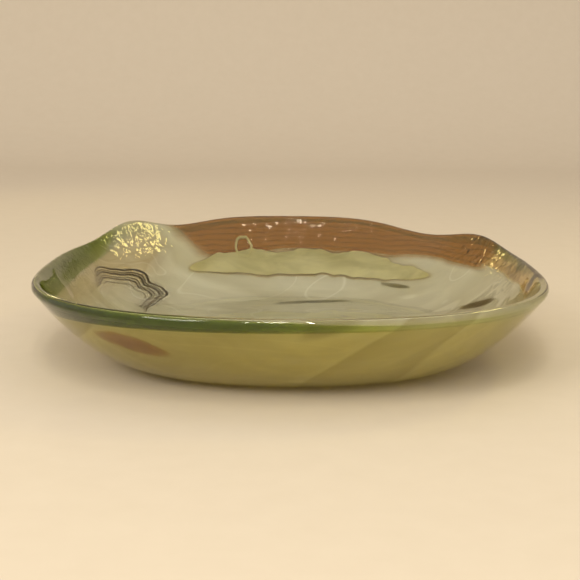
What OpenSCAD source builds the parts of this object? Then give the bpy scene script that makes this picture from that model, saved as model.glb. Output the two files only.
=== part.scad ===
// Hand-worked cased art glass bowl: clear inside, lime green outside, with
// milky white, lime, brown, amber and dark green glass fused between the two
// and a dark green wrap at the lip.
// Units are millimetres. The bowl stands on z = 0 and its front faces -Y.

/* [Plan] */
// mean radius from the centre to the lip
rim_r = 148; // [120:1:180]
// how much deeper (front to back) than wide the plan is
plan_deep = 7; // [0:0.5:12]
// how far the four corners are pulled out of the round
plan_corner = 5; // [0:0.5:8]
// how far the lip is pinched in on the back side of each peak
pinch = 3; // [0:0.5:5]

/* [Lip height] */
// height of the lip along the front and the sides
rim_h = 41.5; // [36:0.5:60]
// extra height of the broad arch at the back
back_arch = 9.5; // [0:0.5:14]
// extra height of the peak at the back left corner
peak_left = 10; // [0:0.5:12]
// extra height of the peak at the back right corner
peak_right = 5.5; // [0:0.5:9]

/* [Wall] */
// radius of the flat floor as a share of the plan radius
floor_share = 0.6; // [0.5:0.01:0.66]
// how the wall climbs, 1 is a straight cone and 2 is a full curve
wall_curve = 1.85; // [1.6:0.05:2.2]
// thickness of all the glass together at the floor
floor_thick = 7; // [5.5:0.25:9]
// thickness of all the glass together at the lip
rim_thick = 5; // [4:0.25:6]
// share of the thickness that is the lime outer casing
lime_share = 0.52; // [0.4:0.01:0.6]
// thickness of the coloured film between the two casings
film_thick = 0.5; // [0.4:0.05:0.7]

/* [Foot] */
// radius of the flat ground into the underside
foot_r = 58; // [40:1:60]
// how far the ground flat stands below the rest of the underside
foot_lift = 0.4; // [0.2:0.05:0.8]

/* [Coloured inclusions] */
// how far the lime patch opens up and down on the back wall
patch_open = 0.1; // [0.04:0.01:0.12]
// how far the amber streak opens up and down
amber_open = 0.06; // [0.02:0.01:0.1]
// how far the brown trails swing up and down in the left lobe
trail_swing = 0.08; // [0:0.01:0.1]

/* [View] */
// which piece to draw

/* [Hidden] */
// columns round the bowl, and degrees from one to the next
cols = 96;
step = 360 / cols;
// rings from the floor out to the lip, and where the lime and clear casings stop
rings = 11;
lime_end = 8;
clear_end = 9;
// points on the rounded edge of the lip, between its outer and inner corners
bead_points = 5;
// height on the wall of the line that the inclusions are laid along
trail_line = 0.6;

// 0 to 1 to 0 bell round an angle, flatter on top when power is higher
function bell(a, centre, width, power = 2) =
    exp(-pow(abs((a - centre + 540) % 360 - 180) / width, power));

// plan radius of the lip and height of its outer corner at angle a
function plan_r(a) = rim_r - plan_deep * cos(2 * a) - plan_corner * cos(4 * a)
    - pinch * (bell(a, 117, 9) + bell(a, 54, 9));
function lip_h(a) = rim_h + back_arch * bell(a, 90, 30, 4)
    + peak_left * bell(a, 133, 10) + peak_right * bell(a, 37, 11);

// opening and sway of the three rings that border the inclusions
function open_at(a) = patch_open * bell(a, 86, 30, 4) + amber_open * bell(a, 234, 9);
function sway_at(a) = trail_swing * bell(a, 168, 30, 4) * sin(9 * (a - 168))
    - 0.03 * bell(a, 86, 30, 4) * cos(5 * a);

// share of the way up the wall of ring j at angle a (0 at the floor, 1 at the lip)
function wall_t(j, a) =
    j == 2 ? 0.18 :
    j == 3 ? 0.34 :
    j == 4 ? trail_line - 0.03 - open_at(a) + sway_at(a) :
    j == 5 ? trail_line + sway_at(a) :
    j == 6 ? trail_line + 0.03 + 0.9 * open_at(a) + sway_at(a) :
    j == 7 ? 0.82 :
    j == 8 ? 0.9 :
    j == 9 ? 0.965 :
    j == 10 ? 1 : 0;

// total thickness of the glass a share t of the way up the wall
function thick(t) = floor_thick + (rim_thick - floor_thick) * t * (2 - t);
// depth of each face of the layers, counted in from the outside
function film_out(t) = lime_share * thick(t);
function film_in(t) = film_out(t) + film_thick;

// climb of the outside at t, and the angle of the wall from level
function climb(t, a) = (lip_h(a) - foot_lift) * pow(t, wall_curve);
function slope(t, a) = t <= 0 ? 0 :
    atan(wall_curve * (lip_h(a) - foot_lift) * pow(t, wall_curve - 1)
         / ((1 - floor_share) * plan_r(a)));

// point at angle a: radius share before the wall starts, t on it, depth d, reach past the lip e
function place(a, share, t, d, e = 0) =
    let (w = slope(t, a),
         r = plan_r(a) * share - d * sin(w) + e * cos(w),
         z = foot_lift + climb(t, a) + d * cos(w) + e * sin(w))
    [r * cos(a), r * sin(a), z];
function share_at(j, t) = j == 0 ? 0.6 * floor_share : floor_share + (1 - floor_share) * t;
// which: 0 outside, 1 under the film, 2 over the film, 3 inside
function depth(which, t) =
    which == 0 ? 0 : which == 1 ? film_out(t) : which == 2 ? film_in(t) : thick(t);
function grid_point(i, j, which) =
    let (a = i * step, t = wall_t(j, a))
    place(a, share_at(j, t), t, depth(which, t));

// glass in the film at column i between rings j and j + 1
function between(i, first, last) = i * step >= first && i * step < last;
function film_glass(i, j) =
    (j == 4 || j == 5) && between(i, 52, 120) ? "lime_patch" :
    j == 4 && between(i, 138, 198) ? "brown_trails" :
    j == 6 && between(i, 146, 176) ? "brown_trails" :
    (j == 4 || j == 5) && between(i, 222, 246) ? "amber_streak" :
    j == 1 && between(i, 67, 94) ? "dark_streaks" :
    (j == 4 || j == 5) && between(i, 3, 22) ? "dark_streaks" :
    "white_veil";
function is_glass(i, j, name) =
    j >= 0 && j < lime_end && film_glass((i + cols) % cols, j) == name;

// one closed solid of a whole layer, from its outer face to its inner face
module whole_layer(face_out, face_in, last) {
    n = last + 1;
    mid_out = 2 * n * cols;
    mid_in = mid_out + 1;
    polyhedron(
        points = concat(
            [for (j = [0 : last], i = [0 : cols - 1]) grid_point(i, j, face_out)],
            [for (j = [0 : last], i = [0 : cols - 1]) grid_point(i, j, face_in)],
            [place(0, 0, 0, depth(face_out, 0)), place(0, 0, 0, depth(face_in, 0))]),
        faces = concat(
            [for (i = [0 : cols - 1]) let (k = (i + 1) % cols)
                each [[mid_out, i, k], [mid_in, n * cols + k, n * cols + i]]],
            [for (j = [0 : last - 1], i = [0 : cols - 1])
                let (k = (i + 1) % cols, a = j * cols, b = a + cols, h = n * cols)
                each [[a + i, b + i, b + k], [a + i, b + k, a + k],
                      [h + a + i, h + b + k, h + b + i], [h + a + i, h + a + k, h + b + k]]],
            [for (i = [0 : cols - 1]) let (k = (i + 1) % cols, a = last * cols, h = n * cols)
                each [[a + i, h + a + i, h + a + k], [a + i, h + a + k, a + k]]]));
}

// the patches of the film that are made of one glass
module film_of(name) {
    n = lime_end + 1;
    h = n * cols;
    middle = name == "white_veil";
    polyhedron(
        points = concat(
            [for (j = [0 : lime_end], i = [0 : cols - 1]) grid_point(i, j, 1)],
            [for (j = [0 : lime_end], i = [0 : cols - 1]) grid_point(i, j, 2)],
            [place(0, 0, 0, depth(1, 0)), place(0, 0, 0, depth(2, 0))]),
        faces = concat(
            [if (middle) for (i = [0 : cols - 1]) let (k = (i + 1) % cols)
                each [[2 * h, i, k], [2 * h + 1, h + k, h + i]]],
            [for (j = [0 : lime_end - 1], i = [0 : cols - 1])
                if (is_glass(i, j, name))
                let (k = (i + 1) % cols, a = j * cols, b = a + cols)
                each [[a + i, b + i, b + k], [a + i, b + k, a + k],
                      [h + a + i, h + b + k, h + b + i], [h + a + i, h + a + k, h + b + k]]],
            [for (j = [0 : lime_end - 1], i = [0 : cols - 1])
                if (is_glass(i, j, name))
                let (k = (i + 1) % cols, a = j * cols, b = a + cols)
                each [
                    if (!is_glass(i, j + 1, name))
                        each [[b + i, h + b + i, h + b + k], [b + i, h + b + k, b + k]],
                    if (!is_glass(i, j - 1, name) && !(middle && j == 0))
                        each [[a + i, h + a + k, h + a + i], [a + i, a + k, h + a + k]],
                    if (!is_glass(i + 1, j, name))
                        each [[a + k, b + k, h + b + k], [a + k, h + b + k, h + a + k]],
                    if (!is_glass(i - 1, j, name))
                        each [[a + i, h + b + i, b + i], [a + i, h + a + i, h + b + i]]
                ]]));
}

// section of the lip wrap at column i, starting at its lower outer edge
function lip_section(i) =
    let (a = i * step, half = rim_thick / 2)
    concat(
        [for (j = [lime_end : rings - 1]) grid_point(i, j, 0)],
        [for (q = [1 : bead_points]) let (u = 180 * q / (bead_points + 1))
            place(a, 1, 1, half - half * cos(u), half * sin(u))],
        [for (j = [rings - 1 : -1 : clear_end]) grid_point(i, j, 3)],
        [grid_point(i, clear_end, 2), grid_point(i, lime_end, 2), grid_point(i, lime_end, 1)]);

module inner_casing() {
    color([0.86, 0.9, 0.84, 0.5])
    whole_layer(2, 3, clear_end);
}

module white_veil() {
    color([0.93, 0.92, 0.84, 0.8])
    film_of("white_veil");
}

module lime_patch() {
    color([0.62, 0.62, 0.22, 0.8])
    film_of("lime_patch");
}

module brown_trails() {
    color([0.3, 0.22, 0.08])
    film_of("brown_trails");
}

module amber_streak() {
    color([0.7, 0.42, 0.05])
    film_of("amber_streak");
}

module dark_streaks() {
    color([0.2, 0.26, 0.08])
    film_of("dark_streaks");
}

module lime_casing() {
    color([0.55, 0.6, 0.12, 0.6])
    union() {
        whole_layer(0, 1, lime_end);
        cylinder(r = foot_r, h = foot_lift + 1, $fn = 128);
    }
}

module lip_wrap() {
    m = len(lip_section(0));
    color([0.25, 0.32, 0.05, 0.8])
    polyhedron(
        points = [for (i = [0 : cols - 1]) each lip_section(i)],
        faces = [for (i = [0 : cols - 1], q = [0 : m - 1])
            let (k = (i + 1) % cols, p = (q + 1) % m)
            each [[i * m + q, i * m + p, k * m + p], [i * m + q, k * m + p, k * m + q]]]);
}

inner_casing();
white_veil();
lime_patch();
brown_trails();
amber_streak();
dark_streaks();
lime_casing();
lip_wrap();
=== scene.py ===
# %% [markdown]
# # An art glass bowl
# The bowl is one fused mass of hot-worked glass, about 273 mm wide, 301 mm deep and 55 mm tall.
# Clear glass lines the inside, lime green glass covers the outside, and thin films of colour lie
# between the two. It could be one mesh with one busy material. Here every glass is a piece of its
# own instead, as it was for the maker, so each has its own shape and its own simple material. The
# pieces are built in metres, on top of the packed model, which is loaded first.

# %% Load the packed model
import math
import bpy
import numpy as np
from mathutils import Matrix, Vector


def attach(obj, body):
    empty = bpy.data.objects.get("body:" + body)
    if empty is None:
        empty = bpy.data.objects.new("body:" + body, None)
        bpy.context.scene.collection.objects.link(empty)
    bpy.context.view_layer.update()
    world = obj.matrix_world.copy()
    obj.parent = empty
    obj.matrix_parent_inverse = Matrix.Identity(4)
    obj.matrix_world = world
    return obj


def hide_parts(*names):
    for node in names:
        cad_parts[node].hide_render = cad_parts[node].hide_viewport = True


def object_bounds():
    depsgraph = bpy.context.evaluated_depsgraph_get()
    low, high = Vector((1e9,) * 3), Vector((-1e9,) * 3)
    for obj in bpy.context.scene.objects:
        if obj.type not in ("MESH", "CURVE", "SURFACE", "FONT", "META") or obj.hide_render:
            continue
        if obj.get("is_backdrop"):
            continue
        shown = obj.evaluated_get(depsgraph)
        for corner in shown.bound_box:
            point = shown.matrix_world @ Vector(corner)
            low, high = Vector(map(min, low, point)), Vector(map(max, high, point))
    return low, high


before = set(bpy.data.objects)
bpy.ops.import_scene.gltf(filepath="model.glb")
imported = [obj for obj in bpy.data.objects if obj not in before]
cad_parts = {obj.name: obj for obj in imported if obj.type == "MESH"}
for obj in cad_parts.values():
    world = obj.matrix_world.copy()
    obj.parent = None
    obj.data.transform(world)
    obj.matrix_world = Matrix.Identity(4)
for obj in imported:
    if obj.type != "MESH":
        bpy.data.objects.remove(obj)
cad_box = [list(corner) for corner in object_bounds()]
print("packed bowl, mm:", [round((hi - lo) * 1000, 1) for lo, hi in zip(*cad_box)])

# %% [markdown]
# ## Writing node trees as sums
# Both the shapes and the glasses are rules: a height that depends on an angle, a milkiness that
# depends on a place. Wired by hand, such rules are hard to read. Here a small class wraps a socket
# and adds a Math node for each + or *, so that a rule is written as ordinary arithmetic. A second
# class adds every other kind of node. The two serve geometry trees and shader trees alike.

# %% A value in a node tree, and the tree
class Value:
    """A number or a link that flows through a node tree."""

    def __init__(self, tree, socket):
        self.tree, self.socket = tree, socket

    def math(self, operation, *others):
        return self.tree.math(operation, self, *others)

    def __add__(self, other): return self.math("ADD", other)
    def __mul__(self, other): return self.math("MULTIPLY", other)
    def __sub__(self, other): return self.math("SUBTRACT", other)
    def __truediv__(self, other): return self.math("DIVIDE", other)
    def __pow__(self, other): return self.math("POWER", other)
    def __neg__(self): return self * -1.0
    def __rsub__(self, other): return self.tree.math("SUBTRACT", other, self)
    def __rtruediv__(self, other): return self.tree.math("DIVIDE", other, self)
    __radd__, __rmul__ = __add__, __mul__

    def sin(self): return self.math("SINE")
    def cos(self): return self.math("COSINE")
    def abs(self): return self.math("ABSOLUTE")
    def fraction(self): return self.math("FRACT")
    def at_most(self, other): return self.math("MINIMUM", other)
    def at_least(self, other): return self.math("MAXIMUM", other)
    def clamped(self): return self.at_least(0.0).at_most(1.0)

    def step(self, low, high):
        """0 at low, 1 at high, smooth in between and flat beyond (low may be above high)."""
        ends = {"Value": self, "From Min": min(low, high), "From Max": max(low, high)}
        rise = self.tree.add("ShaderNodeMapRange", ends, interpolation_type="SMOOTHSTEP")
        return rise if low < high else 1.0 - rise

    def bell(self, centre, width, power=2.0):
        """1 at centre, fading to 0 about two widths away. A higher power flattens the top."""
        away = (self - centre).abs() / width
        return (-(away ** power)).math("EXPONENT")


class Tree:
    """A node tree that is filled one call at a time."""

    def __init__(self, node_tree):
        self.nodes, self.links = node_tree.nodes, node_tree.links

    def add(self, kind, inputs=None, out=0, **settings):
        """Adds a node, sets its settings, then feeds its inputs. Returns one of its outputs."""
        node = self.nodes.new(kind)
        for name, value in settings.items():
            setattr(node, name, value)
        for name, value in (inputs or {}).items():
            self.feed(node.inputs[name], value)
        return Value(self, node.outputs[out])

    def feed(self, socket, value):
        if isinstance(value, Value):
            self.links.new(value.socket, socket)
        else:
            socket.default_value = value

    def math(self, operation, *values):
        return self.add("ShaderNodeMath", dict(enumerate(values)), operation=operation)

    def point(self, x, y, z=0.0):
        return self.add("ShaderNodeCombineXYZ", {0: x, 1: y, 2: z})

    def split(self, point):
        return [self.add("ShaderNodeSeparateXYZ", {"Vector": point}, out=i) for i in range(3)]

    def noise(self, point, scale, detail=2.0, rough=0.5, warp=0.0):
        return self.add("ShaderNodeTexNoise", {"Vector": point, "Scale": scale, "Detail": detail,
                                               "Roughness": rough, "Distortion": warp})


print("a value can be:", ", ".join(name for name in vars(Value) if not name.startswith("_")))

# %% [markdown]
# ## The shape of the bowl
# The plan is a circle pulled out at its four corners and a little deeper than it is wide. The lip
# is level along the front and the sides. At the back it rises in a broad arch, with a peak at each
# back corner. The wall starts at a flat floor and climbs ever more steeply. A sculpted mesh could
# show this too, but here all layers have to follow each other exactly. So one rule says where any
# point of the wall lies, and each layer uses it between its own two depths.

# %% Sizes of the bowl, in metres, and the rule of its wall
HAIR = 0.0002  # the smooth bowl stays this far inside the faceted one
LIP_RADIUS = 0.148 - HAIR
DEEPER, CORNERS, PINCH = 0.007, 0.005, 0.003  # how the plan differs from a circle
LIP_HEIGHT = 0.0415 - HAIR  # along the front and the sides
BACK_ARCH, LEFT_PEAK, RIGHT_PEAK = 0.0095, 0.0100, 0.0055  # how much higher the back is
FLOOR_SHARE = 0.60  # the wall starts at this share of the plan's radius
WALL_CURVE = 1.85  # and its height grows with this power of the way up
FLOOR_GLASS, LIP_GLASS = 0.0070, 0.0050  # thickness of the whole wall
LIME_SHARE = 0.52  # how much of that thickness is the lime casing
FILM = 0.0005
FOOT_RADIUS, FOOT_LIFT = 0.058, 0.0004  # the flat ground base


def place_in_wall(angle, share, depth_share, depth, reach_share=0.0, reach=0.0):
    """The x, y and z of a point: its angle in degrees from the right, its share of the plan's
    radius, how deep it lies in the wall from the outside, and how far it reaches on up the wall.
    Depth and reach are each a share of the wall's thickness plus a length."""
    turn = angle * (math.pi / 180)
    plan = (LIP_RADIUS - (turn * 2).cos() * DEEPER - (turn * 4).cos() * CORNERS
            - (angle.bell(117, 9) + angle.bell(54, 9)) * PINCH)
    lip = (LIP_HEIGHT - FOOT_LIFT + angle.bell(90, 30, 4) * BACK_ARCH
           + angle.bell(133, 10) * LEFT_PEAK + angle.bell(37, 11) * RIGHT_PEAK)
    up = ((share - FLOOR_SHARE) / (1 - FLOOR_SHARE)).at_least(0.0)
    rise = lip * WALL_CURVE * up ** (WALL_CURVE - 1)
    slope = (rise / (plan * (1 - FLOOR_SHARE))).math("ARCTANGENT")
    glass = FLOOR_GLASS + (LIP_GLASS - FLOOR_GLASS) * up * (2 - up)
    inward, onward = glass * depth_share + depth, glass * reach_share + reach
    radius = plan * share - inward * slope.sin() + onward * slope.cos()
    height = FOOT_LIFT + lip * up ** WALL_CURVE + inward * slope.cos() + onward * slope.sin()
    return radius * turn.cos(), radius * turn.sin(), height


print("lip radius and height, mm:", round(LIP_RADIUS * 1000, 1), round(LIP_HEIGHT * 1000, 1))

# %% [markdown]
# ## Growing a piece from a tree
# A Geometry Nodes tree with named inputs is a mould that can be used again with other sizes. A
# size is set through its socket's identifier, because the name alone isn't what the modifier
# stores. After that the result is turned into a plain mesh, since the rest of the work, such as
# joining, wants meshes and not modifiers.

# %% Moulds with named inputs
def new_mould(name, sizes):
    """A geometry tree with named number inputs. Returns the group, the tree and the inputs."""
    group = bpy.data.node_groups.new(name, "GeometryNodeTree")
    group.interface.new_socket("Geometry", in_out="OUTPUT", socket_type="NodeSocketGeometry")
    group.interface.new_socket("Glass", in_out="INPUT", socket_type="NodeSocketMaterial")
    for label, value in sizes.items():
        kind = "NodeSocketInt" if isinstance(value, int) else "NodeSocketFloat"
        socket = group.interface.new_socket(label, in_out="INPUT", socket_type=kind)
        socket.default_value = value
    tree = Tree(group)
    source = tree.nodes.new("NodeGroupInput")
    return group, tree, {label: Value(tree, source.outputs[label]) for label in sizes}


def end_mould(tree, geometry):
    """Ends a tree with real geometry that wears the glass given in its Glass input."""
    real = tree.add("GeometryNodeRealizeInstances", {"Geometry": geometry})
    source = next(node for node in tree.nodes if node.type == "GROUP_INPUT")
    glass = Value(tree, source.outputs["Glass"])
    dressed = tree.add("GeometryNodeSetMaterial", {"Geometry": real, "Material": glass})
    tree.feed(tree.nodes.new("NodeGroupOutput").inputs["Geometry"], dressed)
    print("mould with", len(tree.nodes), "nodes")


def grown(name, group, glass, sizes):
    """One use of a mould, turned into a plain mesh object."""
    empty = bpy.data.meshes.new(name + "_seed")
    seed = bpy.data.objects.new(name + "_seed", empty)
    bpy.context.scene.collection.objects.link(seed)
    modifier = seed.modifiers.new("shape", "NODES")
    modifier.node_group = group
    inputs = [item for item in group.interface.items_tree if item.in_out == "INPUT"]
    identifiers = {item.name: item.identifier for item in inputs}
    for label, value in dict(sizes, Glass=glass).items():
        modifier[identifiers[label]] = value
    view = bpy.context.evaluated_depsgraph_get()
    mesh = bpy.data.meshes.new_from_object(seed.evaluated_get(view))
    bpy.data.objects.remove(seed)
    bpy.data.meshes.remove(empty)
    mesh.shade_smooth()
    piece = bpy.data.objects.new(name, mesh)
    bpy.context.scene.collection.objects.link(piece)
    print(name, "faces", len(mesh.polygons), "mm", [round(s * 1000, 1) for s in piece.dimensions])
    return piece


print("moulds end in Realize Instances and Set Material")

# %% [markdown]
# Every mould starts from a flat grid. One side of the grid becomes the way round or along, the
# other becomes the way round the section, and a Set Position node moves each point to its place.
# The points of a seam or a pole then coincide, and merging them closes the shape.

# %% A flat grid, and the shape it is wrapped into
CLOSE = 2e-6  # points nearer than this, in metres, become one


def unwrapped_grid(tree, columns, rows):
    """A flat grid, and the place of each of its points as two numbers from 0 to 1."""
    grid = tree.add("GeometryNodeMeshGrid", {"Size X": 1.0, "Size Y": 1.0,
                                             "Vertices X": columns, "Vertices Y": rows})
    x, y, _ = tree.split(tree.add("GeometryNodeInputPosition"))
    return grid, x + 0.5, y + 0.5


def wrapped(tree, grid, x, y, z):
    """Moves the grid's points and closes the seam and the poles."""
    moved = tree.add("GeometryNodeSetPosition", {"Geometry": grid, "Position": tree.point(x, y, z)})
    return tree.add("GeometryNodeMergeByDistance", {"Geometry": moved, "Distance": CLOSE})


print("points merge below", CLOSE * 1000, "mm")

# %% [markdown]
# ## The mould for layers
# A layer of glass is a closed shell between two depths of the wall. Its section runs up the
# outside, turns over in a half circle at the end, and runs down the inside. The lip's green glass
# was trailed on by hand, so it is thicker in some places than in others, dips down the left
# side, and starts with a rounded edge.

# %% The layer mould
TURN_AT, TURN_LONG = 0.44, 0.12  # the part of the section that turns over at the end
START_LONG = 0.04  # the part that rounds a rounded start

layer_mould, tree, size = new_mould("glass layer", {
    "Outer share": 0.0, "Outer depth": 0.0, "Inner share": 1.0, "Inner depth": 0.0,
    "Start": 0.0, "End": 1.0, "Round start": 0.0, "Foot": 0.0,
    "Patchy": 0.0, "Feather": 0.0, "Dip": 0.0, "Columns": 360, "Rows": 200})
grid, around, section = unwrapped_grid(tree, size["Columns"], size["Rows"])
angle = around * 360
from_pole = section.at_most(1 - section)
rounding = size["Round start"] * START_LONG
along_wall = ((from_pole - rounding) / (TURN_AT - rounding)).clamped()
dip = angle.bell(180, 45) - angle.bell(90, 45, 4) * 0.2
start = size["Start"] - size["Dip"] * dip
share = start + (size["End"] - start) * along_wall

end_turn = ((section - TURN_AT) / TURN_LONG).clamped() * math.pi
start_turn = (from_pole / START_LONG).at_most(1.0).at_least(1 - size["Round start"])
start_turn = start_turn * (math.pi / 2)
side = -end_turn.cos() * start_turn.sin()  # -1 on the outside, 1 on the inside
push = end_turn.sin() - start_turn.cos()  # how far the ends bulge

# patchy glass is full at the front left and the left, streaky on the right, thin along the back
streaks = tree.noise(tree.point(angle * 0.25, share * 9), 1.0)
coloured = (angle.bell(215, 62, 4).at_least(angle.bell(166, 34, 4))
            .at_least(angle.bell(8, 34, 4) * streaks.step(0.42, 0.6) * 0.9)
            .at_least(angle.bell(88, 60, 4) * 0.28).at_least(0.1))
fullness = (1 - size["Patchy"] * (1 - coloured)) * (1 - size["Feather"] * (1 - along_wall))
half_share = (size["Inner share"] - size["Outer share"]) * fullness / 2
half_depth = (size["Inner depth"] - size["Outer depth"]) * fullness / 2
x, y, z = place_in_wall(angle, share, size["Outer share"] + half_share * (1 + side),
                        size["Outer depth"] + half_depth * (1 + side),
                        half_share * push, half_depth * push)
on_foot = ((x * x + y * y) ** 0.5).step(FOOT_RADIUS + 0.0012, FOOT_RADIUS)
z = z - size["Foot"] * FOOT_LIFT * (0.5 - side * 0.5) * on_foot
end_mould(tree, wrapped(tree, grid, x, y, z))

# %% [markdown]
# ## The mould for inclusions
# The lime patch, the amber streak and the dark slits are bits of coloured glass that were pressed
# between the layers and drawn out. Each is a flat lens with pointed ends and a ragged outline. A
# flat shape with a picture of the colour would show no depth, so the grid is wrapped into a tube
# whose section is a flat ellipse, and the tube is laid along the wall with the same rule.

# %% The inclusion mould: a flat lens laid in the wall
lens_mould, tree, size = new_mould("inclusion", {
    "Angle": 90.0, "Half angle": 30.0, "Share": 0.8, "Half height": 0.05, "Slant": 0.0,
    "Ragged": 0.1, "Seed": 1.0, "Depth": 0.0004, "Half thickness": 0.0002,
    "Columns": 160, "Rows": 33})
grid, around, section = unwrapped_grid(tree, size["Columns"], size["Rows"])
run = around * 2 - 1  # -1 at one end, 1 at the other
taper = (1.0001 - run * run).at_least(0.0) ** 0.5
turn = section * (2 * math.pi)
edge = tree.point(run * size["Half angle"] * 0.12, turn.cos().math("SIGN") * 0.7, size["Seed"])
ragged = tree.noise(edge, 1.0) - 0.5
height = size["Half height"] * taper * (1 + ragged * size["Ragged"] * 4)
share = size["Share"] + size["Slant"] * run + height * turn.cos()
depth = FILM + size["Depth"] + size["Half thickness"] * turn.sin() * taper
x, y, z = place_in_wall(size["Angle"] + size["Half angle"] * run, share, LIME_SHARE, depth)
end_mould(tree, wrapped(tree, grid, x, y, z))

# %% [markdown]
# ## The mould for threads
# Thin threads of glass were trailed on hot and pulled into loops. A curve with a bevel would make
# a thread too, but it would have to be bent into the wall afterwards. Here a thread is the same
# kind of flat tube, laid along part of an oval in the wall. Several threads with the same centre
# and slightly different sizes give lines like those of an agate.

# %% The thread mould: a thin tube laid along an oval in the wall
thread_mould, tree, size = new_mould("thread", {
    "Angle": 90.0, "Half angle": 10.0, "Share": 0.8, "Half share": 0.05, "From": 0.0, "To": 360.0,
    "Width": 0.03, "Wobble": 0.1, "Seed": 1.0, "Depth": 0.0006, "Half thickness": 0.0002,
    "Columns": 240, "Rows": 13})
grid, around, section = unwrapped_grid(tree, size["Columns"], size["Rows"])
run = around * 2 - 1
taper = (1.0001 - run ** 8).at_least(0.0) ** 0.5
turn = section * (2 * math.pi)
along = (size["From"] + (size["To"] - size["From"]) * around) * (math.pi / 180)
spot = tree.point(along.cos() * 1.5, along.sin() * 1.5, size["Seed"])
wobble = (tree.noise(spot, 1.0, 1.0) - 0.5) * size["Wobble"] * 2
swell = 1 + wobble + size["Width"] * taper * turn.cos()
x, y, z = place_in_wall(size["Angle"] + size["Half angle"] * swell * along.cos(),
                        size["Share"] + size["Half share"] * swell * along.sin(), LIME_SHARE,
                        FILM + size["Depth"] + size["Half thickness"] * turn.sin() * taper)
end_mould(tree, wrapped(tree, grid, x, y, z))

# %% [markdown]
# ## Glass materials
# Real cased glass bends light once, at its outer surface, and not again where one glass meets the
# next, because both bend light alike. If every layer bent it, the bowl would look like a stack of
# separate shells. So only the clear body has the refractive index of glass. The coloured layers
# lie inside it with an index of 1, which bends nothing, and tint the light by how far it travels
# in them. That makes the edge deeper in colour than the straight view through the wall.

# %% Helpers for materials
INDEX_OF_GLASS, INDEX_OF_AIR = 1.5, 1.0


def new_material(name):
    """A material with an empty tree. Returns it, its tree and its output node's inputs."""
    material = bpy.data.materials.new(name)
    material.use_nodes = True
    tree = Tree(material.node_tree)
    tree.nodes.clear()
    return material, tree, tree.nodes.new("ShaderNodeOutputMaterial").inputs


def here(tree):
    """The object's own coordinates, in metres."""
    return tree.add("ShaderNodeTexCoord", out=3)


def stretched(tree, spot, scale, turn=(0, 0, 0)):
    """A place for a pattern, scaled and turned."""
    return tree.add("ShaderNodeMapping", {"Vector": spot, "Scale": scale, "Rotation": turn})


def between(tree, factor, first, second):
    """A colour between two colours."""
    colours = {0: factor, 6: (*first, 1), 7: (*second, 1)}
    return tree.add("ShaderNodeMix", colours, out=2, data_type="RGBA")


def mixed(tree, factor, first, second):
    """A shader between two shaders."""
    return tree.add("ShaderNodeMixShader", {0: factor, 1: first, 2: second})


def tinted_glass(name, bend, tint, density, finish=None):
    """Glass that tints light by the distance it travels in it."""
    material, tree, output = new_material(name)
    inputs = {"Base Color": (1, 1, 1, 1), "Transmission Weight": 1.0, "IOR": bend,
              "Roughness": 0.0, **(finish(tree) if finish else {})}
    volume = {"Color": (*tint, 1), "Density": density}
    tree.feed(output["Surface"], tree.add("ShaderNodeBsdfPrincipled", inputs))
    tree.feed(output["Volume"], tree.add("ShaderNodeVolumeAbsorption", volume))
    print(name, "has index", bend, "and density", density)
    return material


print("index of glass", INDEX_OF_GLASS, "and of air", INDEX_OF_AIR)

# %% [markdown]
# ## The finish of the clear glass
# Glass that was shaped by hand and fire polished is glossy but never quite flat: a slow ripple
# runs over all of it. High on the back lobes it is hammered, and a lamp's reflection there breaks
# up into golden grains. Modelling each dent would cost a very fine mesh, so both are a bump. A
# faint smear of roughness keeps the reflections from being perfect.

# %% Ripple, hammering and smear
BUMP_HEIGHT = 0.0011


def hand_worked(tree):
    """The finish of the clear body, as inputs of its shader."""
    spot = here(tree)
    ripple = tree.noise(stretched(tree, spot, (1, 1, 2.5)), 32, 1.5, 0.4, 0.6)
    hammered = tree.noise(stretched(tree, spot, (1, 1, 0.7)), 300, 0.8, 0.4)
    x, y, z = tree.split(spot)
    high = z.step(0.028, 0.036) * y.step(-0.02, 0.03)
    height = ripple * (1 - high * 0.6) + hammered * (0.004 + high * 0.60)
    bump = tree.add("ShaderNodeBump", {"Height": height, "Distance": BUMP_HEIGHT, "Strength": 1.0})
    smear = tree.noise(spot, 14, 3.0, 0.6)
    return {"Roughness": smear.step(0.45, 0.75) * 0.05 + 0.012, "Normal": bump}


body_glass = tinted_glass("clear_glass", INDEX_OF_GLASS, (0.82, 0.84, 0.62), 9.0, hand_worked)

# %% [markdown]
# ## The coloured glasses
# The colours are metal oxides melted into the glass, so they act on light all the way through.
# A thin thread needs a strong tint to show at all, and the thick lime casing a weak one. That is
# what the density sets. It is why the same rule gives a pale casing and dark threads.

# %% Lime, green, brown, amber and olive glass
lime_glass = tinted_glass("lime_glass", INDEX_OF_AIR, (0.86, 0.79, 0.0), 420.0)
lip_green = tinted_glass("dark_green_glass", INDEX_OF_AIR, (0.70, 0.775, 0.0), 1350.0)
thread_brown = tinted_glass("brown_glass", INDEX_OF_AIR, (0.62, 0.46, 0.08), 1150.0)
streak_amber = tinted_glass("amber_glass", INDEX_OF_AIR, (0.92, 0.815, 0.0), 2900.0)
slit_olive = tinted_glass("olive_glass", INDEX_OF_AIR, (0.30, 0.26, 0.0), 1400.0)

# %% [markdown]
# ## The patterns of the milky veil
# White enamel glass was spread thinly between the casings and stirred while it was soft, so it
# lies in sheets that overlap. Each sheet has one quick edge and fades away behind it. A painted
# image would do, but a rule can be seen from any side and needs no file. A smooth noise whose
# level is cut into bands, each rising slowly to its edge, draws exactly that. A narrow band
# around the middle of each level gives thin lines.

# %% Sheets, lines and the places where the veil is clear
def sheets_of(level):
    """Sheets that overlap: each rises slowly and ends at a quick but soft edge."""
    rise = level.fraction()
    return rise * rise.step(1.0, 0.86)


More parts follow.
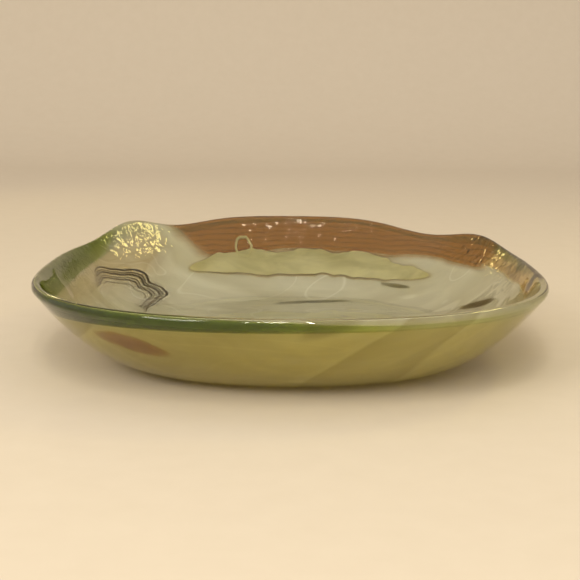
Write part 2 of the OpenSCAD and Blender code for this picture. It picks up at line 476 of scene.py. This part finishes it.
def lines_of(level, width):
    """Thin lines, like contour lines on a map."""
    return level.fraction().bell(0.5, width)


def clear_places(x, y, z, wander):
    """Where the veil is missing: the back wall, the top of the right wall and the left lobe."""
    back = ((z + wander * 0.010).step(0.029, 0.034) * y.step(0.05, 0.07)
            * (x + z * 1.6 + wander * 0.04).step(-0.012, 0.008))
    right = ((z + wander * 0.004).step(0.033, 0.036) * x.step(0.085, 0.10)
             * y.step(-0.06, -0.03))
    lobe = ((x + wander * 0.05).step(-0.070, -0.100) * (y + wander * 0.03).step(-0.05, 0.0)
            * z.step(0.012, 0.03))
    return back, right, lobe


def front_light(tree, x, y, z, wisps):
    """How light the veil is in the front wall: its sheets sweep up to the right, it is darker
    towards the foot, and its far right is darkened as painted shade.
    """
    sweep = tree.point(x * 0.6, y * 0.6, (z - x * 0.6) * 2.2)
    swept = sheets_of(tree.noise(sweep, 9.0, 1.5, 0.4, 0.7) * 3.6)
    near_middle, near_foot = (x - z * 2).bell(0.0, 0.09), z.step(0.022, 0.004)
    light = swept * 0.8 + wisps * 0.2 + near_middle * 0.35 - 0.18 - near_foot * 0.2
    # painted shade: the far right of the front wall is made up to three quarters darker
    return light * (1 - x.step(0.07, 0.12) * 0.75)


print("patterns:", ", ".join(p.__name__ for p in (sheets_of, lines_of, clear_places, front_light)))

# %% [markdown]
# ## White enamel
# A film of enamel shows its own colour and also glows with the light from behind, which is what
# sets milk glass apart from paint. So its shader is part matt surface and part translucent. Where
# the film is missing, the shader gives way to a transparent one, faintly tinted. On the back wall
# this tint is brown, with darker contour lines, and in the left lobe there are faint agate lines.

# %% The white enamel
def milky(tree, colour, roughness, glow, share):
    """A surface that shows its colour and lets light glow through."""
    face = tree.add("ShaderNodeBsdfPrincipled", {"Base Color": colour, "Roughness": roughness})
    through = tree.add("ShaderNodeBsdfTranslucent", {"Color": (*glow, 1)})
    return mixed(tree, share, face, through)


def white_enamel():
    material, tree, output = new_material("milky_white_glass")
    spot = here(tree)
    x, y, z = tree.split(spot)
    wander = tree.noise(spot, 20.0, 2.0, 0.5, 0.5) - 0.5
    drawn = stretched(tree, spot, (1.0, 2.0, 2.0), (0, 0, 0.3))
    sheets = sheets_of(tree.noise(drawn, 5.0, 1.5, 0.4, 1.3) * 4.5)
    threads = lines_of(tree.noise(drawn, 9.0, 1.0, 0.4, 0.8) * 6, 0.025)
    wisps = tree.noise(stretched(tree, spot, (1, 3.0, 2), (0, 0, -0.2)), 13.0, 4.0, 0.55, 1.4)

    back, right, lobe = clear_places(x, y, z, wander)
    clear = back.at_least(right).at_least(lobe * 0.48)
    cover = 0.78 + sheets * 0.12 + wisps.step(0.35, 0.7) * 0.08 + threads * 0.05
    milk = (cover * (1 - clear * 0.96)).at_most(0.97)
    front = (x.abs() * 0.5 - y).step(0.06, 0.10)
    light = 0.50 + sheets * 0.25 + wisps * 0.12 + threads * 0.3
    # in the front wall the lightness comes from front_light, whose far right is painted shade
    light = light * (1 - front) + front_light(tree, x, y, z, wisps) * front
    colour = between(tree, light.clamped(), (0.55, 0.51, 0.24), (0.98, 0.98, 0.86))
    enamel = milky(tree, colour, 0.6, (0.93, 0.89, 0.74), 0.4)

    pale = tree.add("ShaderNodeBsdfTransparent", {"Color": (0.94, 0.92, 0.80, 1)})
    brown = tree.add("ShaderNodeBsdfTransparent", {"Color": (0.60, 0.43, 0.18, 1)})
    bare = mixed(tree, back.at_least(lobe * 0.35).at_least(right * 0.5), pale, brown)
    arcs = lines_of(z * 330 + wander * 3.0, 0.08) * back
    agate = lines_of(tree.noise(spot, 9.0, 1.0, 0.4, 0.4) * 20, 0.09) * lobe
    dark = {"Base Color": (0.16, 0.10, 0.03, 1), "Roughness": 0.6}
    line = tree.add("ShaderNodeBsdfPrincipled", dark)
    veil = mixed(tree, milk, bare, enamel)
    tree.feed(output["Surface"], mixed(tree, arcs * 0.30 + agate * 0.12, veil, line))
    print("white enamel has", len(tree.nodes), "nodes")
    return material


enamel_glass = white_enamel()

# %% [markdown]
# ## Pale lime glass
# The band on the back wall is a thick bit of opal glass, pale lime with streaks along it. It is
# built like the enamel, milky and a little see-through, but with streaks of its own.

# %% The pale lime glass
def pale_lime():
    material, tree, output = new_material("pale_lime_glass")
    light, deep = (0.92, 0.88, 0.52), (0.74, 0.70, 0.30)
    streaks = tree.noise(stretched(tree, here(tree), (1, 2.5, 2.5)), 30, 3.0, 0.5, 0.8)
    opal = milky(tree, between(tree, streaks.step(0.3, 0.7), deep, light), 0.5, light, 0.5)
    bare = tree.add("ShaderNodeBsdfTransparent")
    solid = (streaks * 0.5 + 0.60).at_most(1.0)
    tree.feed(output["Surface"], mixed(tree, solid, bare, opal))
    print("pale lime glass has", len(tree.nodes), "nodes")
    return material


band_lime = pale_lime()

# %% [markdown]
# ## The layers
# The clear body is the one surface that the air touches, so it takes the whole thickness of the
# wall, the rounded lip and the flat ground foot. The coloured layers lie inside it, a hair's
# breadth apart, because two faces in the same place flicker in a render.

# %% The clear body and the layers inside it
def finished(piece, node):
    """Attaches the piece to the root and hides the node of the packed model that it stands for."""
    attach(piece, "root")
    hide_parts(node)


def layer(name, glass, node, slot, **sizes):
    """A piece from the layer mould. A size is named as its input is, with underscores."""
    sizes = {label.replace("_", " ").capitalize(): value for label, value in sizes.items()}
    finished(grown(name, layer_mould, glass, sizes), node)


layer("clear_body", body_glass, "inner_casing", "clear_glass", foot=1.0)
layer("lime_layer", lime_glass, "lime_casing", "lime_glass",
      outer_depth=0.0012, inner_share=LIME_SHARE, end=0.985)
layer("lip_band", lip_green, "lip_wrap", "dark_green_glass",
      outer_depth=0.0004, inner_share=1.0, inner_depth=-0.0004,
      start=0.987, dip=0.045, end=1.0, round_start=1.0, patchy=0.96, feather=0.25, rows=60)
layer("veil_film", enamel_glass, "white_veil", "milky_white_glass",
      outer_share=LIME_SHARE, outer_depth=0.0001, inner_share=LIME_SHARE, inner_depth=FILM,
      end=1.006, rows=160)

# %% [markdown]
# ## The bits of colour
# The lime band has a thin brown outline, which is the edge of a slightly larger brown bit under
# it, and a small teardrop of pale thread above it. The agate in the left lobe is a nest of six
# threads, each a little smaller than the one before. The amber streak lies on the outer side of
# the film, so it shows through the front wall. The dark slits lie on the inner side.

# %% Lenses and threads
def laid(name, glass, node, lenses=(), threads=()):
    """One piece of one or more lenses and threads, each given by its own sizes."""
    runs = [(lens_mould, run) for run in lenses] + [(thread_mould, run) for run in threads]
    parts = [grown(f"{name}_{i}", mould, glass, {"Seed": i + 1.0, **run})
             for i, (mould, run) in enumerate(runs)]
    if len(parts) > 1:
        with bpy.context.temp_override(active_object=parts[0], selected_editable_objects=parts,
                                       selected_objects=parts):
            bpy.ops.object.join()
    parts[0].name = name
    finished(parts[0], node)


def agate_ring(shrink, width):
    """One thread of the agate, shrunk by some degrees."""
    return {"Angle": 156.0, "Half angle": 20.5 - shrink, "Share": 0.80,
            "Half share": 0.12 - shrink * 0.006, "From": 88.0 - 4 * shrink,
            "To": 265.0 - 3 * shrink, "Width": width, "Wobble": 0.32, "Seed": 3.0}


band = {"Angle": 83.5, "Half angle": 37.5, "Share": 0.86, "Half height": 0.050, "Ragged": 0.35,
        "Depth": 0.0012}
outline = {**band, "Half angle": 38.4, "Half height": 0.061, "Depth": 0.0005,
           "Half thickness": 0.0006}
teardrop = {"Angle": 103.5, "Half angle": 2.3, "Share": 0.915, "Half share": 0.032,
            "From": -80.0, "To": 285.0, "Width": 0.14, "Wobble": 0.25, "Depth": 0.0016}
amber = {"Angle": 238.5, "Half angle": 8.0, "Share": 0.915, "Half height": 0.038,
         "Slant": -0.02, "Ragged": 0.4, "Depth": -0.0014, "Half thickness": 0.0006}
floor_slit = {"Angle": 82.0, "Half angle": 16.0, "Share": 0.59, "Half height": 0.040,
              "Slant": -0.06, "Depth": 0.0007, "Half thickness": 0.0004}
wall_slit = {"Angle": 11.5, "Half angle": 9.0, "Share": 0.83, "Half height": 0.024,
             "Slant": -0.05, "Depth": 0.0007, "Half thickness": 0.0004}
small_slit = {"Angle": 55.0, "Half angle": 5.5, "Share": 0.80, "Half height": 0.012,
              "Depth": 0.0007, "Half thickness": 0.0003}
rings = [(0.0, 0.020), (1.5, 0.012), (2.6, 0.022), (4.4, 0.012), (5.6, 0.022), (8.0, 0.012)]

laid("lime_band", band_lime, "lime_patch", [band], [teardrop])
laid("brown_threads", thread_brown, "brown_trails", [outline],
     [agate_ring(*ring) for ring in rings])
laid("amber_glow", streak_amber, "amber_streak", [amber])
laid("dark_slits", slit_olive, "dark_streaks", [floor_slit, wall_slit, small_slit])

# %% [markdown]
# ## The floor
# Glass shows its surroundings more than itself. A pale floor that sweeps up into a pale wall
# without a corner gives the calm, warm reflections of a bright room. A plain plane would leave a
# hard horizon, which the bowl would bend into dark lines.

# %% Stage
def pale_stage():
    width, corner, wall_at, height = 6.0, 0.5, 1.7, 3.5
    bend = [(wall_at - corner + corner * math.sin(a), corner * (1 - math.cos(a)))
            for a in np.linspace(0, math.pi / 2, 13)]
    line = [(-4.0, 0.0)] + bend + [(wall_at, height)]
    points = [(side * width / 2, y, z) for y, z in line for side in (-1, 1)]
    faces = [(2 * i, 2 * i + 1, 2 * i + 3, 2 * i + 2) for i in range(len(line) - 1)]
    mesh = bpy.data.meshes.new("stage")
    mesh.from_pydata(points, [], faces)
    mesh.shade_smooth()
    material, tree, output = new_material("pale_stage")
    grain = tree.noise(here(tree), 60, 4, 0.6)
    colour = between(tree, grain, (0.60, 0.52, 0.42), (0.64, 0.56, 0.46))
    surface = tree.add("ShaderNodeBsdfPrincipled", {"Base Color": colour, "Roughness": 0.7})
    tree.feed(output["Surface"], surface)
    mesh.materials.append(material)
    stage = bpy.data.objects.new("stage", mesh)
    bpy.context.scene.collection.objects.link(stage)
    print("stage has", len(faces), "faces")
    return stage


pale_stage()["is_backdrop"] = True

# %% [markdown]
# ## Light
# A soft key light stands at the front left, and a warm, even sky fills the shadows. Two small
# golden lamps stand where the hammered lobes mirror them, one for each lobe, and give the
# glitter. Five narrow strips in front put bright points along the lip, which make the eye read
# wet, polished glass. Together they give almost as much light as the key, so they also light the
# front wall evenly.

# %% Lights
def lamp(name, spot, aim, width, depth, watts, colour):
    """A rectangular light at a spot, turned towards its aim."""
    data = bpy.data.lights.new(name, "AREA")
    data.shape, data.size, data.size_y = "RECTANGLE", width, depth
    data.energy, data.color = watts, colour
    stand = bpy.data.objects.new(name, data)
    stand.location = spot
    stand.rotation_mode = "QUATERNION"
    stand.rotation_quaternion = (Vector(spot) - Vector(aim)).to_track_quat("Z", "Y")
    bpy.context.scene.collection.objects.link(stand)


lamp("key", (-1.1, -1.3, 1.0), (0, 0, 0), 0.8, 0.6, 12, (1.0, 0.93, 0.82))
lamp("left_glitter", (0.56, 0.25, 0.66), (-0.10, 0.09, 0.04), 0.15, 0.12, 0.75, (1.0, 0.85, 0.30))
lamp("right_glitter", (-0.38, 0.80, 0.36), (0.12, 0.04, 0.04), 0.08, 0.08, 0.20,
     (1.0, 0.84, 0.36))
strips = [(-0.69, 1.0), (-0.20, 2.6), (-0.12, 2.0), (-0.08, 2.0), (0.10, 3.2)]
for i, (x, watts) in enumerate(strips):
    lamp(f"strip_{i}", (x, -1.07, 0.96), (0, -0.15, 0.04), 0.02, 1.0, watts, (1.0, 0.95, 0.78))

scene = bpy.context.scene
scene.world = bpy.data.worlds.new("room")
scene.world.use_nodes = True
sky = Tree(scene.world.node_tree)
sky.nodes.clear()
glow = sky.add("ShaderNodeBackground", {"Color": (1.0, 0.92, 0.80, 1), "Strength": 0.84})
sky.feed(sky.nodes.new("ShaderNodeOutputWorld").inputs["Surface"], glow)

# %% [markdown]
# ## Colour, light paths and camera
# The Standard view keeps the lime and the amber as strong as they are set. Light crosses several
# layers of glass on its way in and again on its way out, so it is allowed many bounces. The eye
# is low, 15 cm above the table and 64 cm away, where the wave of the lip shows best.

# %% View and camera
scene.view_settings.view_transform = "Standard"
scene.cycles.max_bounces, scene.cycles.transmission_bounces = 24, 20
scene.cycles.diffuse_bounces, scene.cycles.transparent_max_bounces = 6, 16

eye = bpy.data.cameras.new("eye")
eye.lens, eye.sensor_width, eye.sensor_height, eye.sensor_fit = 72.1, 36.0, 36.0, "AUTO"
eye.clip_start = 0.05
camera = bpy.data.objects.new("eye", eye)
camera.location = (0, -0.6394, 0.149)
camera.rotation_euler = (math.radians(90 - 10.48), 0, 0)
camera.rotation_euler.rotate_axis("Z", math.radians(0.4))
scene.collection.objects.link(camera)
scene.camera = camera
print("camera at", [round(v, 3) for v in camera.location], "lens", round(eye.lens, 1))

# It has to stay inside it.

# %% Measure and finish
seen_box = [list(corner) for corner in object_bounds()]
for label, box in (("cad", cad_box), ("visual", seen_box)):
    print(label, "mm:", [[round(v * 1000, 2) for v in corner] for corner in box])
